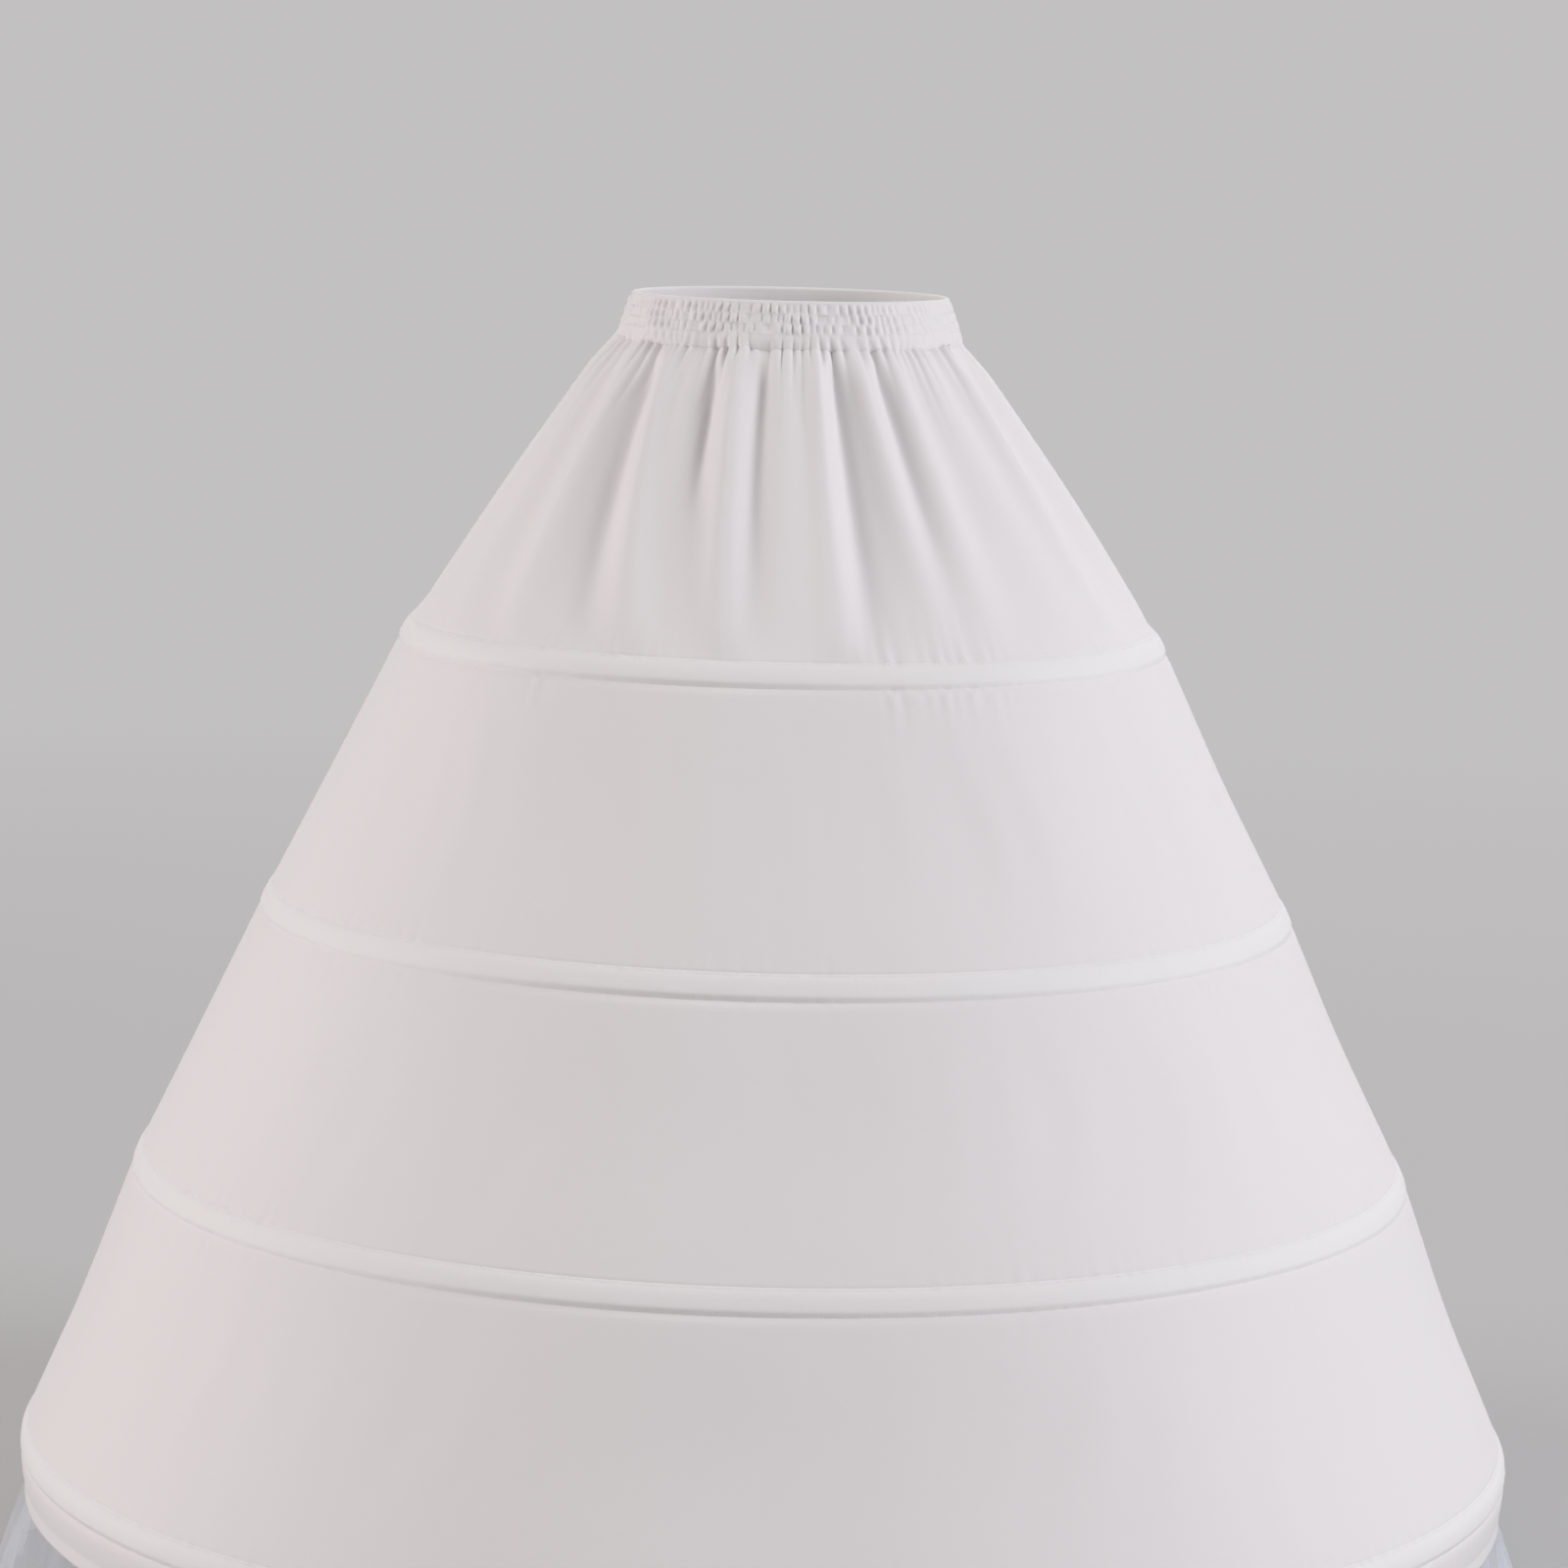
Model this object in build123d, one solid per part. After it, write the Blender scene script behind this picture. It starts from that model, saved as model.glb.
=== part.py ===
from build123d import *
import os
from math import atan, cos, degrees, pi, sin, tan

# Hoop petticoat: four sprung hoops in sewn casings hold out a tiered cloth cone that hangs from an elastic
# waistband, with a ruffled net flounce at the hem.
# Millimetres, +Z up. The origin is the middle of the waist opening, level with the band's top edge, and the
# wearer faces -Y, so the hoops are joined at the back, on +Y.

# Waistband and its elastic
waist_radius = 121.0        # smooth inner ply, against the wearer
band_height = 36.0
band_ply = 1.2              # inner ply, top fold and the thinnest place of the outer ply
band_flare = 12.0           # how far the outer ply stands out further at the seam than at the top
band_tunnel_share = 0.5     # share of that flare that is hollow behind the outer ply
elastic_thickness = 1.6
pucker_count = 40
pucker_depth = 0.9          # swing of the shirred outer ply either side of its mean

# Cloth tiers, each sewn to the next along a hoop
cloth_wall = 1.2            # measured level, along the radius
top_tier_drop = 234.0
second_tier_drop = 216.0
third_tier_drop = 210.0
bottom_tier_drop = 224.0
hem_drop = 48.0             # cloth below the lowest hoop
hem_flare = 4.0
fold_count = 24
fold_depth = 5.0            # swing of the gathers where they are fullest
seam_fold_share = 0.6       # the gathers are pressed flatter than that at the waist seam
full_fold_share = 0.28      # how far down the top tier they are fullest
fading_fold_share = 0.45    # what is left of them half way from there to the first casing

# Hoops of flat coated steel, and the sleeves that join their ends
hoop_1_radius = 300.0       # to the cloth's outer face
hoop_2_radius = 408.0
hoop_3_radius = 508.0
hoop_4_radius = 598.0
hoop_width = 7.0
hoop_thickness = 1.4
hoop_end_gap = 1.0
sleeve_length = 36.0
sleeve_wall = 0.8

# Tape casings that hold the hoops to the cloth, open at the back where the sleeve is
casing_width = 22.0
casing_ply = 1.0
casing_break = 52.0

# Net flounce, sewn inside the hem
net_wall = 1.0
flounce_heading = 12.0
flounce_drop = 92.0
flounce_flare = 26.0
ruffle_count = 32
ruffle_depth = 8.5

fit_gap = 0.15              # between a piece and what it slides into
seat_gap = 0.2              # between a piece and the cloth that it lies on
overrun = 5.0               # how far a cutting shape passes what it cuts

# Unevenness of gathered cloth: each fold is shifted and scaled a little, in a rhythm that never repeats
uneven_turn = pi * (3 - 5**0.5)
uneven_place_share = 0.3
uneven_depth_share = 0.4
steps_per_fold = 4

# Places worked out from the sizes above
back_angle = 90.0
tunnel_inner = waist_radius + band_ply
tunnel_outer = tunnel_inner + elastic_thickness + 2 * fit_gap
band_rim_radius = tunnel_outer + band_ply + pucker_depth
band_foot_radius = band_rim_radius + band_flare
seam_fold = fold_depth * seam_fold_share
seam_radius = band_foot_radius - pucker_depth - seam_fold
hem_radius = hoop_4_radius + hem_flare

tier_drops = [top_tier_drop, second_tier_drop, third_tier_drop, bottom_tier_drop]
hoop_radii = [hoop_1_radius, hoop_2_radius, hoop_3_radius, hoop_4_radius]
hoop_heights = [-band_height - sum(tier_drops[: k + 1]) for k in range(len(tier_drops))]
hem_height = hoop_heights[-1] - hem_drop
stations = [(seam_radius, -band_height), *zip(hoop_radii, hoop_heights), (hem_radius, hem_height)]


def lean(upper, lower):
    """How far the cloth between two stations leans from the vertical, in radians."""
    return atan((lower[0] - upper[0]) / (upper[1] - lower[1]))


leans = [lean(stations[k], stations[k + 1]) for k in range(len(stations) - 1)]


def fold_edge(i, count):
    """Angle where fold i starts, moved a little off its even place."""
    return 2 * pi * (i + uneven_place_share * sin(i % count * uneven_turn)) / count


def lobe(part, fullness):
    """Height across one gather: a round crest between two sharp creases."""
    return (1 + fullness) * sin(pi * part) - 1


def flute(part, fullness):
    """Height across one ruffle: a smooth swing out and in."""
    return fullness * sin(2 * pi * part)


def gathered_ring(mean_radius, height, swing, count, form):
    """Points round gathered cloth at one height, each fold a little fuller or slacker than the next."""
    points = []
    for i in range(count):
        start, end = fold_edge(i, count), fold_edge(i + 1, count)
        fullness = 1 - uneven_depth_share * sin(i * uneven_turn) ** 2
        for step in range(steps_per_fold):
            part = step / steps_per_fold
            angle = start + (end - start) * part
            radius = mean_radius + swing * form(part, fullness)
            points.append((radius * cos(angle), radius * sin(angle), height))
    return points


def flat(*loops):
    """Level cloth inside the first closed loop of points, with the other loops as holes."""
    outer, *holes = [Wire.make_polygon(loop, close=True) for loop in loops]
    return Face(outer, holes)


def gathered_sides(rings):
    """Creased cloth between each ring of points and the next one up, in flat three-sided facets."""
    facets = []
    for low, high in zip(rings, rings[1:]):
        for i in range(len(low)):
            j = (i + 1) % len(low)
            facets += [flat((low[i], low[j], high[i])), flat((high[i], low[j], high[j]))]
    return facets


def gathered_solid(rings, count, form):
    """Solid inside a stack of gathered rings, each a mean radius, height and swing, from the lowest up."""
    stack = [gathered_ring(*ring, count, form) for ring in rings]
    return Solid(Shell([*gathered_sides(stack), flat(stack[0]), flat(stack[-1])]))


def gathered_wall(rings, inner_rings, count, form):
    """Cloth between two stacks of gathered rings.

    Its edge is open where both stacks end at one height. Elsewhere cloth closes it across.
    """
    outer = [gathered_ring(*ring, count, form) for ring in rings]
    inner = [gathered_ring(*ring, count, form) for ring in inner_rings]
    faces = gathered_sides(outer) + gathered_sides(inner)
    for end in (0, -1):
        open_edge = rings[end][1] == inner_rings[end][1]
        faces += [flat(outer[end], inner[end])] if open_edge else [flat(outer[end]), flat(inner[end])]
    return Solid(Shell(faces))


def turned(points, arc=360.0):
    """Ring with the outline given as (radius, height) points. A part ring leaves its gap at the back."""
    outline = make_face(Polyline([(radius, 0, height) for radius, height in points], close=True))
    start = back_angle + (360.0 - arc) / 2
    return Rot(0, 0, start) * revolve(outline, Axis.Z, revolution_arc=arc)


def arc_over(length, radius):
    """Angle in degrees that a length takes up on a circle."""
    return degrees(length / radius)


def waistband():
    """Folded band: plain inner ply, top fold, shirred outer ply, and a tunnel that opens downwards."""
    rings = [(band_foot_radius, -band_height, pucker_depth), (band_rim_radius, 0, pucker_depth)]
    outer = gathered_solid(rings, pucker_count, lobe)
    bore = Pos(0, 0, -band_height / 2) * Cylinder(waist_radius, band_height + 2 * overrun)
    tunnel = turned(
        [
            (tunnel_inner, -band_ply),
            (tunnel_outer, -band_ply),
            (tunnel_outer + band_flare * band_tunnel_share, -band_height),
            (tunnel_inner, -band_height),
        ]
    )
    return outer - bore - tunnel


def waist_elastic():
    """Flat elastic loop in the band's tunnel, from the top fold to the turned-in edge of the top tier."""
    inner, outer = tunnel_inner + fit_gap, tunnel_outer - fit_gap
    top, bottom = -band_ply - seat_gap, -band_height + seat_gap
    return turned([(inner, top), (outer, top), (outer, bottom), (inner, bottom)])


def top_tier():
    """Gathered tier: folds fullest a little below the waist and gone at the first casing.

    Its top edge turns in under the band and closes the elastic's tunnel.
    """
    top, foot = stations[0], stations[1]
    casing_share = 1 - casing_width / 2 * cos(leans[0]) / top_tier_drop
    fading_share = (full_fold_share + casing_share) / 2

    def rings(first_share, inset):
        levels = [
            (1, 0),
            (casing_share, 0),
            (fading_share, fold_depth * fading_fold_share),
            (full_fold_share, fold_depth),
            (first_share, seam_fold),
        ]
        return [
            (top[0] + (foot[0] - top[0]) * share - inset, top[1] - top_tier_drop * share, swing)
            for share, swing in levels
        ]

    ply_share = cloth_wall / top_tier_drop
    cloth = gathered_wall(rings(0, 0), rings(ply_share, cloth_wall), fold_count, lobe)
    return cloth - Pos(0, 0, top[1]) * Cylinder(waist_radius, 2 * (cloth_wall + overrun))


def plain_tier(*edges):
    """Smooth tier of cloth through the stations given, from its upper edge down."""
    inside = [(radius - cloth_wall, height) for radius, height in reversed(edges)]
    return turned([*edges, *inside])


class HoopPlace:
    """Section frame of one hoop: along the cloth, and out from it, at the seam between two tiers.

    Where the cloth turns outwards below the seam, the hoop stands off by the depth of that hollow too.
    """

    def __init__(self, number):
        self.radius, self.height = stations[number]
        self.lean_above, self.lean_below = leans[number - 1], leans[number]
        self.lean = (self.lean_above + self.lean_below) / 2
        sleeve_side = hoop_width / 2 + fit_gap + sleeve_wall
        hollow = max(0, sleeve_side * tan((self.lean_below - self.lean_above) / 2))
        self.stand_off = hollow + seat_gap + sleeve_wall + fit_gap

    def point(self, along, out):
        """A point of the section, measured down along the cloth and outwards from the seam."""
        radius = self.radius + along * sin(self.lean) + out * cos(self.lean)
        return radius, self.height - along * cos(self.lean) + out * sin(self.lean)

    def block(self, margin):
        """Outline of the hoop's own flat section, grown all round by a margin."""
        side = hoop_width / 2 + margin
        near, far = self.stand_off - margin, self.stand_off + hoop_thickness + margin
        return [self.point(a, o) for a, o in ((-side, near), (side, near), (side, far), (-side, far))]

    def hoop(self):
        """Open ring of flat steel whose two ends meet inside the sleeve."""
        return turned(self.block(0), 360.0 - arc_over(hoop_end_gap, self.radius))

    def sleeve(self):
        """Flat tube that both ends of the hoop push into."""
        arc = arc_over(sleeve_length, self.radius)
        tube = turned(self.block(fit_gap + sleeve_wall), arc) - turned(self.block(fit_gap), arc)
        return Rot(0, 0, 180) * tube

    def casing(self):
        """Tape drawn over the hoop, thinning out to the two edges that are stitched to the tiers."""
        half, side = casing_width / 2, hoop_width / 2 + fit_gap
        edge_above = self.radius - half * sin(self.lean_above), self.height + half * cos(self.lean_above)
        edge_below = self.radius + half * sin(self.lean_below), self.height - half * cos(self.lean_below)
        under = self.stand_off + hoop_thickness + fit_gap
        over = under + casing_ply
        inner = [self.point(-side, under), self.point(side, under)]
        outer = [self.point(side, over), self.point(-side, over)]
        arc = 360.0 - arc_over(casing_break, self.radius)
        return turned([edge_above, *inner, edge_below, *outer], arc)


def tulle_flounce():
    """Net ruffle: its heading lies flat inside the hem, and below the hem it flares and falls in flutes."""
    inside = hem_radius - cloth_wall - seat_gap
    heading_radius = inside - flounce_heading * (hem_radius - hoop_4_radius) / hem_drop
    rings = [
        (inside + flounce_flare, hem_height - flounce_drop, ruffle_depth),
        (inside, hem_height, 0),
        (heading_radius, hem_height + flounce_heading, 0),
    ]
    inner_rings = [(radius - net_wall, height, swing) for radius, height, swing in rings]
    return gathered_wall(rings, inner_rings, ruffle_count, flute)


nodes = {
    "waistband": waistband(),
    "waist_elastic": waist_elastic(),
    "top_tier": top_tier(),
    "second_tier": plain_tier(*stations[1:3]),
    "third_tier": plain_tier(*stations[2:4]),
    "bottom_tier": plain_tier(*stations[3:6]),
    "tulle_flounce": tulle_flounce(),
}
for number in range(1, len(hoop_radii) + 1):
    place = HoopPlace(number)
    nodes[f"hoop_{number}"] = place.hoop()
    nodes[f"hoop_sleeve_{number}"] = place.sleeve()
    nodes[f"hoop_casing_{number}"] = place.casing()

os.makedirs("parts", exist_ok=True)
for name, piece in nodes.items():
    export_step(piece, f"parts/{name}.step")
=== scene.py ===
import bpy
import numpy as np
from mathutils import Matrix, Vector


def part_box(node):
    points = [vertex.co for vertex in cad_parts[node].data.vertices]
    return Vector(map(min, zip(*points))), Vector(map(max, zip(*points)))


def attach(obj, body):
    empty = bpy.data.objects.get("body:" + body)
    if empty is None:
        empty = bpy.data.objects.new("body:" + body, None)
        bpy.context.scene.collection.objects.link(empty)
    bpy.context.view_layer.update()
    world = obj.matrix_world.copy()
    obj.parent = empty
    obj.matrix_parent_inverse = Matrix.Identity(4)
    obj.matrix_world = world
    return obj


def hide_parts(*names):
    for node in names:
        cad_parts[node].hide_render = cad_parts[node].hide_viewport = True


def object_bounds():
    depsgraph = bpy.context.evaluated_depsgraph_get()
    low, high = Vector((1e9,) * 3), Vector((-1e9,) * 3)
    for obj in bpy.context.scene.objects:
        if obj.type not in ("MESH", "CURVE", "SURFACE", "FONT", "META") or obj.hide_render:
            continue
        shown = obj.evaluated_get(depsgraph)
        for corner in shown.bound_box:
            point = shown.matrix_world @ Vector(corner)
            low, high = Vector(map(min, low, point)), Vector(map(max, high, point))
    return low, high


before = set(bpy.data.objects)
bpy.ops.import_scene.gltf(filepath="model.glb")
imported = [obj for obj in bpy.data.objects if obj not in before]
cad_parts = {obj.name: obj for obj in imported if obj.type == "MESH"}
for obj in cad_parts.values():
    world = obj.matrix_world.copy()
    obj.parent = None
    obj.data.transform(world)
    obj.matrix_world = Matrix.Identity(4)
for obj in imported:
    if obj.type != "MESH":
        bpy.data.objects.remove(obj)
cad_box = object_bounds()


# Hoops: four open rings of flat spring steel in a white plastic coating, which hold the skirt out.
# Each is bent round until its two ends meet at the back, and lies in a casing on the cloth.
hoop_numbers = (1, 2, 3, 4)


class Shade:
    """A shader socket that takes part in Python sums: each operator adds one Math node to its tree."""

    def __init__(self, tree, socket=None):
        self.tree, self.socket = tree, socket

    def node(self, kind, settings=None, inputs=None, output=0):
        """Adds a node of a kind, makes its settings, fills its sockets and gives one of its outputs."""
        made = self.tree.nodes.new(kind)
        for name, value in (settings or {}).items():
            setattr(made, name, value)
        for name, value in (inputs or {}).items():
            if isinstance(value, Shade):
                self.tree.links.new(value.socket, made.inputs[name])
            else:
                made.inputs[name].default_value = value
        return Shade(self.tree, made.outputs[output])

    def math(self, operation, *values):
        return self.node("ShaderNodeMath", {"operation": operation}, dict(enumerate(values)))

    def __add__(self, other):
        return self.math("ADD", self, other)

    def __mul__(self, other):
        return self.math("MULTIPLY", self, other)

    def __sub__(self, other):
        return self.math("SUBTRACT", self, other)

    __radd__, __rmul__ = __add__, __mul__

    def between(self, first, second):
        """Colour that goes from the first to the second as this value goes from 0 to 1."""
        return self.node("ShaderNodeMix", {"data_type": "RGBA"}, {0: self, 6: first, 7: second}, 2)

    def feeds(self, name):
        """Links this socket to one of the Principled shader's."""
        self.tree.links.new(self.socket, self.tree.nodes["Principled BSDF"].inputs[name])

    def bumps(self, strength, distance):
        """Makes this value the height of a bump in the Principled shader's surface."""
        bump = {"Height": self, "Strength": strength, "Distance": distance}
        self.node("ShaderNodeBump", inputs=bump).feeds("Normal")


def new_finish(name, **plain):
    """Material with a Principled shader, its plain numbers set, and a Shade that adds nodes to its tree."""
    material = bpy.data.materials.new(name)
    material.use_nodes = True
    for socket, value in plain.items():
        material.node_tree.nodes["Principled BSDF"].inputs[socket.replace("_", " ")].default_value = value
    return material, Shade(material.node_tree)


def hoop_coating():
    """White plastic skin on steel: an orange-peel bump, and noise that drifts its tone and its gloss."""
    material, tree = new_finish("hoop_coating", Coat_Weight=0.2, Coat_Roughness=0.25)
    place = tree.node("ShaderNodeTexCoord", output="Object")
    drift = tree.node("ShaderNodeTexNoise", inputs={"Vector": place, "Scale": 18.0, "Detail": 4.0})
    peel = tree.node("ShaderNodeTexNoise", inputs={"Vector": place, "Scale": 700.0, "Detail": 1.0})
    drift.between((0.8, 0.79, 0.77, 1), (0.88, 0.88, 0.88, 1)).feeds("Base Color")
    (0.28 + 0.2 * drift).feeds("Roughness")
    peel.bumps(0.2, 0.0002)
    return material


def dress(piece, material):
    """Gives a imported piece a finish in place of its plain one."""
    for place in piece.material_slots:
        place.material = material


coating = hoop_coating()
for number in hoop_numbers:
    dress(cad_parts[f"hoop_{number}"], coating)


# Hoop sleeves: flat tubes of milky plastic, which hold the two ends of each hoop in line at the back.
# Each is cut from drawn tube, pushed over one end of the hoop and slid back over the other.
def sleeve_plastic():
    """Milky plastic: a drift of tone, and fine lines drawn along the tube by its die."""
    material, tree = new_finish("sleeve_plastic", Subsurface_Weight=0.2, Subsurface_Scale=0.002)
    place = tree.node("ShaderNodeTexCoord", output="Object")
    drift = tree.node("ShaderNodeTexNoise", inputs={"Vector": place, "Scale": 60.0, "Detail": 2.0})
    drawn = tree.node("ShaderNodeMapping", inputs={"Vector": place, "Scale": (20.0, 20.0, 2500.0)})
    lines = tree.node("ShaderNodeTexNoise", inputs={"Vector": drawn, "Scale": 1.0, "Detail": 1.0})
    drift.between((0.77, 0.75, 0.72, 1), (0.87, 0.86, 0.845, 1)).feeds("Base Color")
    (0.25 + 0.2 * lines).feeds("Roughness")
    lines.bumps(0.2, 0.0001)
    return material


milky = sleeve_plastic()
for number in hoop_numbers:
    dress(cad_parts[f"hoop_sleeve_{number}"], milky)


# Second, third and bottom tiers: bands of plain woven white cloth, cut to flare and joined at the hoops.
# Each is closed by a seam at the back, and the bottom one runs on past the lowest hoop to a turned hem.
cloth_wall = 0.0006
hem_drop, hem_flare, hem_tuck = 0.048, 0.004, 0.0055
hem_fold, hem_groove, hem_groove_half = 0.012, 0.0004, 0.0012
hem_rows = np.array([0, 1.5, 10.5, 12, 13.5]) / 1000


def edge_of(node, highest):
    """Outer radius and height of a ring-shaped node at its highest or lowest edge."""
    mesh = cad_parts[node].data
    place = np.empty(len(mesh.vertices) * 3, np.float32)
    mesh.vertices.foreach_get("co", place)
    x, y, z = place.astype(float).reshape(-1, 3).T
    height = z.max() if highest else z.min()
    at_edge = np.isclose(z, height, atol=1e-5)
    return np.hypot(x, y)[at_edge].max(), height


hem = edge_of("bottom_tier", highest=False)
hoop_seats = [edge_of(f"{tier}_tier", highest=True) for tier in ("second", "third", "bottom")]
hoop_seats.append((hem[0] - hem_flare, hem[1] + hem_drop))


def ring_points(radius, height, bearing):
    """Points of a ring: x is radius times the sine of the bearing, y is minus radius times its cosine."""
    x, y = radius * np.sin(bearing), -radius * np.cos(bearing)
    return np.stack(np.broadcast_arrays(x, y, height), axis=-1)


def bearings(columns):
    """Bearings round a closed ring, from the back round to the back, counted from the front."""
    return np.linspace(-np.pi, np.pi, columns, endpoint=False)


def smooth_piece(name, mesh):
    """Smooth-shaded object of a mesh, which rides on the part's one body."""
    mesh.polygons.foreach_set("use_smooth", np.ones(len(mesh.polygons), bool))
    piece = bpy.data.objects.new(name, mesh)
    bpy.context.scene.collection.objects.link(piece)
    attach(piece, "root")
    return piece


def grid_piece(name, points, closed=True):
    """Mesh of a grid of points: rows run down and columns run round to the right, so quads face outwards.

    Its UV map holds lengths in metres, round the middle row and down the first column.
    """
    rows, columns = points.shape[:2]
    spans = columns if closed else columns - 1
    row, column = np.meshgrid(np.arange(rows - 1), np.arange(spans), indexing="ij")
    corner_rows = np.stack([row, row + 1, row + 1, row], axis=-1)
    corner_columns = np.stack([column, column, column + 1, column + 1], axis=-1)
    faces = (corner_rows * columns + corner_columns % columns).reshape(-1, 4)
    mesh = bpy.data.meshes.new(name)
    mesh.from_pydata(points.reshape(-1, 3), [], faces)
    middle = points[rows // 2]
    steps = np.linalg.norm(np.roll(middle, -1, axis=0) - middle, axis=1)
    lengths_round = np.concatenate([[0], np.cumsum(steps)])
    lengths_down = np.concatenate([[0], np.cumsum(np.linalg.norm(np.diff(points[:, 0], axis=0), axis=1))])
    lengths = np.stack([lengths_round[corner_columns], lengths_down[corner_rows]], axis=-1)
    mesh.uv_layers.new(name="lengths").data.foreach_set("uv", lengths.astype(np.float32).ravel())
    return smooth_piece(name, mesh)


def thicken(piece, wall):
    """Gives a sheet its thickness, inwards from the modelled face."""
    modifier = piece.modifiers.new("wall", "SOLIDIFY")
    modifier.thickness, modifier.offset = wall, -1


def smooth_step(low, high, value):
    """Rises from 0 at low to 1 at high, level at both ends: 3 t squared minus 2 t cubed."""
    t = np.clip((value - low) / (high - low), 0, 1)
    return t * t * (3 - 2 * t)


def wander(bearing, counts, start):
    """Uneven wave round the ring: sines with these whole counts, each begun at its own angle, added up."""
    starts = start * np.arange(1, len(counts) + 1) ** 2
    waves = [np.sin(count * bearing + begin) for count, begin in zip(counts, starts)]
    return sum(waves) / len(counts) ** 0.5


above_hoop = np.array([0, 4, 6, 8.5, 11, 13.5, 17.5]) / 1000
below_hoop = np.array([0, 5, 8.5, 9.8, 10.8, 11.8, 13, 14.6, 16.8, 20, 25]) / 1000
row_pitch = 0.012


def slope(*stations, first_rows=below_hoop, last_rows=above_hoop):
    """Straight runs from station to station, with rows close together near each hoop and even between.

    The first and last stations may have other rows near them. Gives the radius, height and outward direction
    of each row, and its length down from the first.
    """
    radius, height = [np.array([stations[0][0]])], [np.array([stations[0][1]])]
    for upper, lower in zip(stations, stations[1:]):
        length = np.hypot(lower[0] - upper[0], lower[1] - upper[1])
        starting = first_rows if upper is stations[0] else below_hoop
        ending = last_rows if lower is stations[-1] else above_hoop
        between = np.arange(starting[-1] + row_pitch, length - ending[-1] - row_pitch / 2, row_pitch)
        share = np.concatenate([starting, between, length - ending[::-1]])[1:] / length
        radius.append(upper[0] + (lower[0] - upper[0]) * share)
        height.append(upper[1] + (lower[1] - upper[1]) * share)
    radius, height = np.concatenate(radius), np.concatenate(height)
    down = np.concatenate([[0], np.cumsum(np.hypot(np.diff(radius), np.diff(height)))])
    out = np.stack([-np.gradient(height, down), np.gradient(radius, down)])
    out /= np.linalg.norm(out, axis=0)
    return radius[:, None], height[:, None], out[0][:, None], out[1][:, None], down[:, None]


pull_height, pull_reach = 0.0004, 0.014
tight_middle, tight_half, tight_share = 0.36, 0.20, 1.6
pull_pitches = np.array([0.0105, 0.013, 0.016, 0.021])


def stitch_pulls(bearing, number):
    """Small puckers that stitching draws into the cloth: an uneven wave, stronger on some stretches.

    On the first hoop a bell makes them strongest to the right of the front.
    """
    counts = np.round(2 * np.pi * hoop_seats[number - 1][0] / pull_pitches)
    patchy = np.clip(0.55 + 0.45 * wander(bearing, (3, 5, 8), 1.7 + number), 0.1, 1.4)
    if number == 1:
        patchy = patchy + tight_share * np.exp(-(((bearing - tight_middle) / tight_half) ** 2))
    return pull_height * wander(bearing, counts, 2.9 * number) * patchy


casing_half = 0.011
hoop_clear = 0.006
groove_start, groove_end, groove_ramp = 0.0088, 0.0172, 0.001
deep_middle, deep_half = -0.2, 0.36
tape_level, level_reach = 0.0021, 0.10
hollow, swell, soft_wave = 0.0012, 0.0014, 0.0004
seam_half, seam_rise = 0.006, 0.0008


def back_seam(bearing, radius):
    """Felled seam at the back: a low flat ridge with a crease along its middle."""
    aside = (np.pi - np.abs(bearing)) * radius
    ridge = 1 - smooth_step(seam_half * 0.7, seam_half, aside)
    return seam_rise * (ridge - 0.7 * np.exp(-((aside / (seam_half * 0.2)) ** 2)))


def groove_depth(bearing, number):
    """Depth of the groove under a hoop, as a share of the tape's level.

    It is a slow uneven wave plus a bell a little to the left of the front, where the cloth is drawn in most.
    The stitch pulls make it uneven in small.
    """
    drawn_in = np.exp(-(((bearing - deep_middle) / deep_half) ** 2))
    slow = 0.42 + 0.16 * wander(bearing, (2, 3, 5), 3.1 + number) + 0.68 * drawn_in
    return np.clip(slow + 0.25 * stitch_pulls(bearing, number) / pull_height, 0.2, 1.15)


def beside_casing(along, bearing, number):
    """Lift of the cloth to the level of the tape, with the stitch pulls, at a distance below a hoop.

    The distance is negative above the hoop. The lift fades with the distance from the casing's edge, and is
    nothing behind the hoop. Below it the cloth rises out of the groove that the stitching presses.
    """
    past_edge = np.maximum(np.abs(along) - casing_half, 0)
    lift = tape_level * np.exp(-((past_edge / level_reach) ** 2))
    lift = lift + stitch_pulls(bearing, number) * np.exp(-past_edge / pull_reach)
    depth = groove_depth(bearing, number)
    steep = smooth_step(groove_start - groove_ramp, groove_start + groove_ramp, along)
    soft = smooth_step(groove_start, groove_end, along)
    return lift * (smooth_step(hoop_clear, casing_half, -along) + (1 - depth) * steep + depth * soft)


def hanging_hem(under_hoop):
    """Relief of the hem: it hangs straight from the lowest casing, so it falls back from the slope below.

    The line of stitching that holds the turned edge presses a shallow groove, shaped as a bell.
    """
    from_edge = hem_drop - under_hoop
    groove = hem_groove * np.exp(-(((from_edge - hem_fold) / hem_groove_half) ** 2))
    return -hem_tuck * smooth_step(casing_half, hem_drop, under_hoop) - groove


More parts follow.
